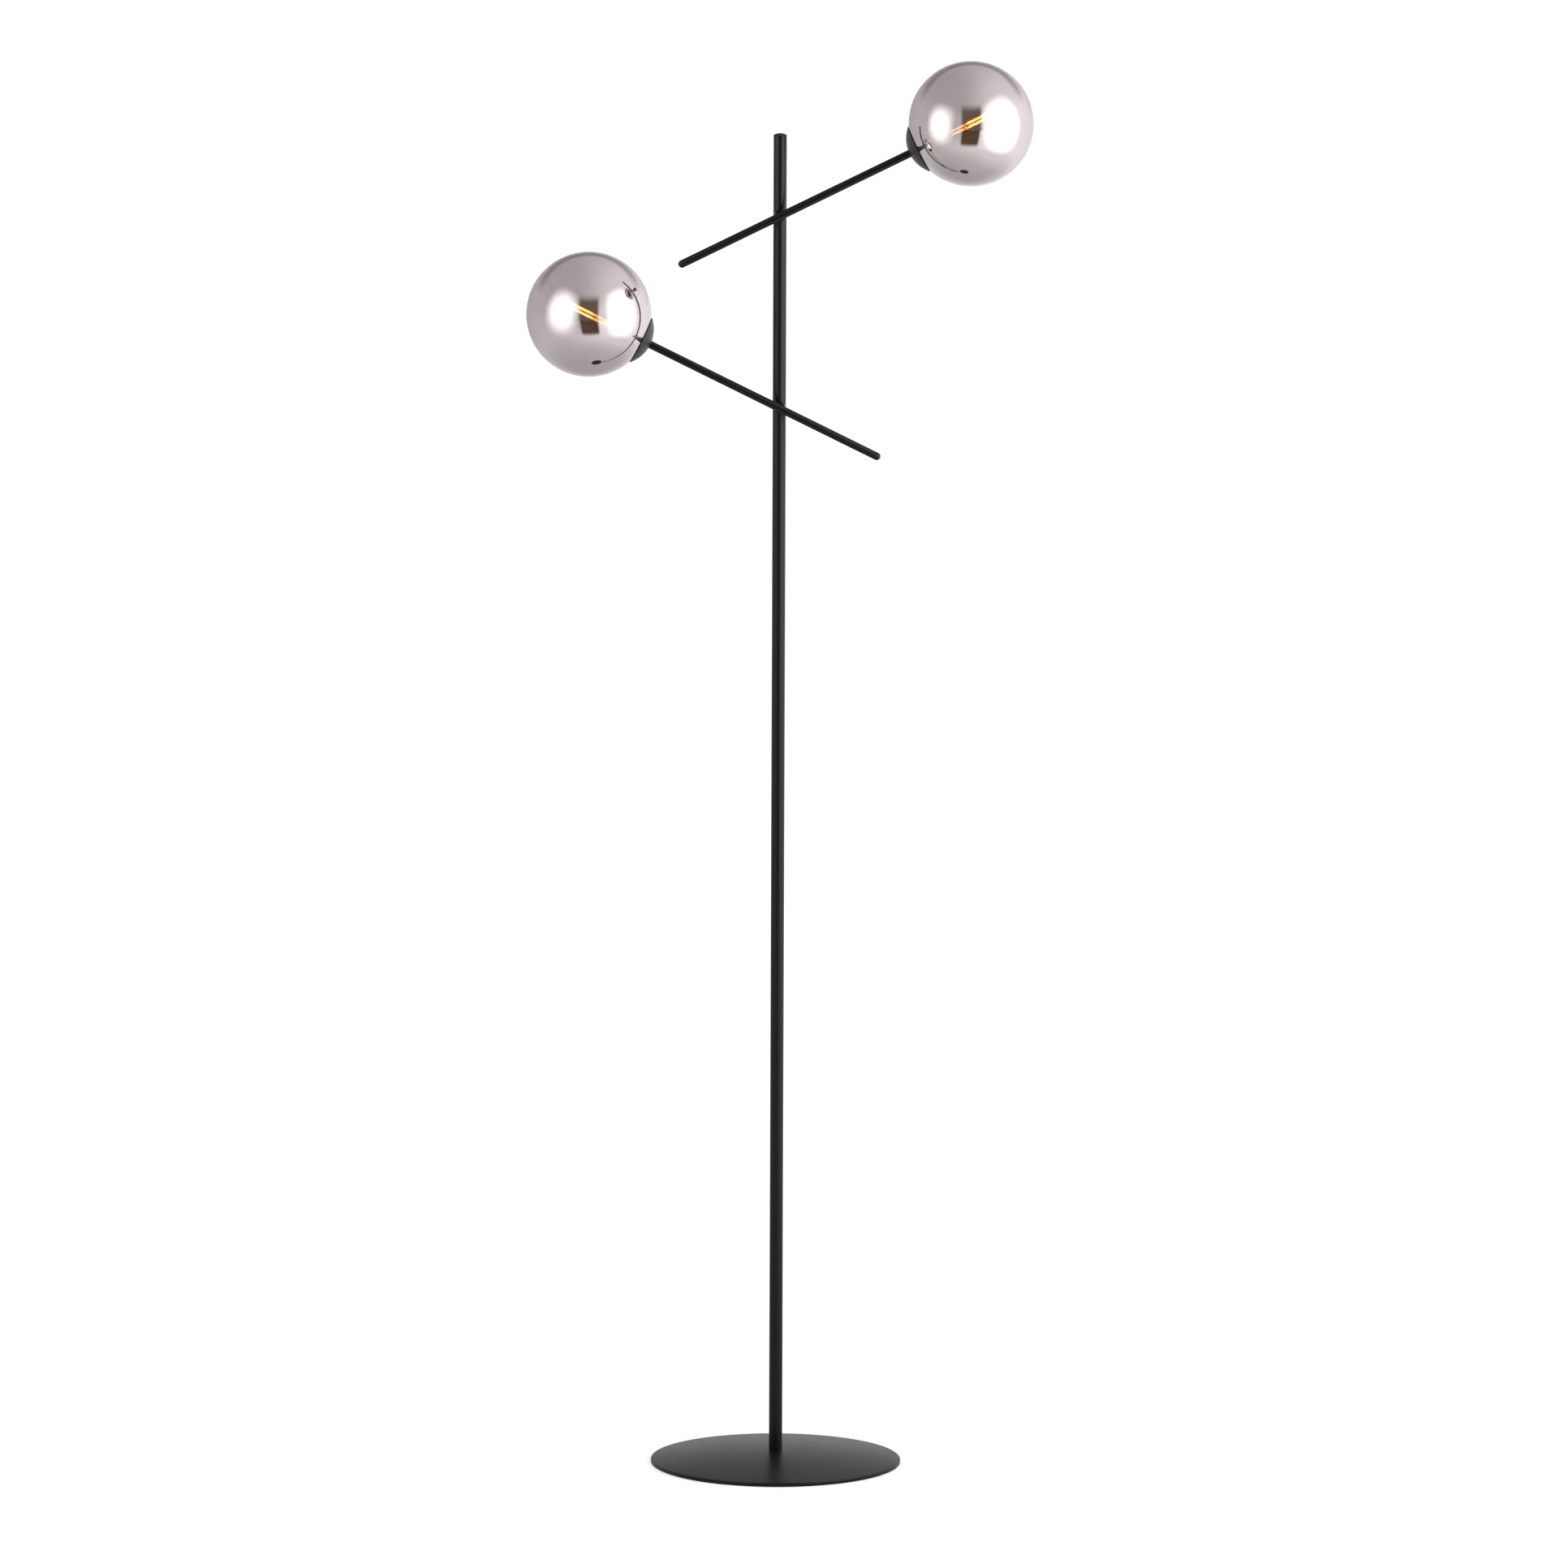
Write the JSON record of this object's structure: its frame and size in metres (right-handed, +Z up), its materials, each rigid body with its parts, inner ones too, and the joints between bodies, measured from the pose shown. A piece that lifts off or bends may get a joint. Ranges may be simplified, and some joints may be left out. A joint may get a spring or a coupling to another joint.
{
  "type": "floor lamp",
  "caption": "Slim black floor lamp: a domed round base and a pole carry friction-held swivel arms, each ending in a shallow cup with a half-mirrored glass globe round a filament bulb.",
  "frame": {"origin": "on the floor under the middle of the base", "axes": "+Z up along the pole, +X towards the upper arm's globe, -Y towards the front, where the arms are"},
  "size_m": [0.606, 0.3, 1.7107],
  "materials": {
    "black_coat": "satin black powder coat",
    "mirrored_glass": "half-mirrored smoke glass",
    "bulb_glass": "clear amber-tinted glass",
    "bulb_cap": "nickel-plated cap",
    "filament": "lit filament",
    "black_plastic": "moulded heat-resistant plastic",
    "brass": "plain",
    "zinc_steel": "zinc-plated",
    "ballast": "as cast",
    "pad": "foam pad",
    "black_rubber": "soft matte",
    "nylon": "black nylon",
    "lead_sheath": "smooth cable sheath"
  },
  "bodies": {
    "stand": {"base_cover": "black_coat", "base_weight": "ballast", "base_pad": "pad", "base_washer": "zinc_steel", "base_bolt": "zinc_steel", "pole_foot_plug": "zinc_steel", "pole_tube": "black_coat", "pole_cap": "black_coat", "cord_grommet": "black_rubber", "wire_splice": "lead_sheath", "upper_pole_lead": "lead_sheath", "lower_pole_lead": "lead_sheath", "upper_front_saddle": "black_coat", "upper_rear_saddle": "black_coat", "lower_front_saddle": "black_coat", "lower_rear_saddle": "black_coat"},
    "upper_arm": {"upper_friction_washer": "nylon", "upper_pivot_stud": "zinc_steel", "upper_disc_spring": "zinc_steel", "upper_cap_nut": "black_coat", "upper_arm_boss": "black_coat", "upper_arm_tube": "black_coat", "upper_arm_end_cap": "black_coat", "upper_arm_lead": "lead_sheath", "upper_head_nipple": "zinc_steel", "upper_cup": "black_coat", "upper_cup_nut": "zinc_steel", "upper_lampholder": "black_plastic", "upper_lampholder_contacts": "brass", "upper_globe_ring": "black_plastic", "upper_globe_gasket": "black_rubber", "upper_globe": "mirrored_glass", "upper_bulb_glass": "bulb_glass", "upper_bulb_cap": "bulb_cap", "upper_bulb_filaments": "filament"},
    "lower_arm": {"lower_friction_washer": "nylon", "lower_pivot_stud": "zinc_steel", "lower_disc_spring": "zinc_steel", "lower_cap_nut": "black_coat", "lower_arm_boss": "black_coat", "lower_arm_tube": "black_coat", "lower_arm_end_cap": "black_coat", "lower_arm_lead": "lead_sheath", "lower_head_nipple": "zinc_steel", "lower_cup": "black_coat", "lower_cup_nut": "zinc_steel", "lower_lampholder": "black_plastic", "lower_lampholder_contacts": "brass", "lower_globe_ring": "black_plastic", "lower_globe_gasket": "black_rubber", "lower_globe": "mirrored_glass", "lower_bulb_glass": "bulb_glass", "lower_bulb_cap": "bulb_cap", "lower_bulb_filaments": "filament"}
  },
  "joints": [
    {"name": "upper_arm_swivel", "type": "hinge", "parent": "stand", "child": "upper_arm", "pos_m": [0, 0, 1.5225], "axis": [0, -1, 0], "range_deg": [-55, 60]},
    {"name": "lower_arm_swivel", "type": "hinge", "parent": "stand", "child": "lower_arm", "pos_m": [0, 0, 1.29], "axis": [0, 1, 0], "range_deg": [-75, 8]}
  ]
}
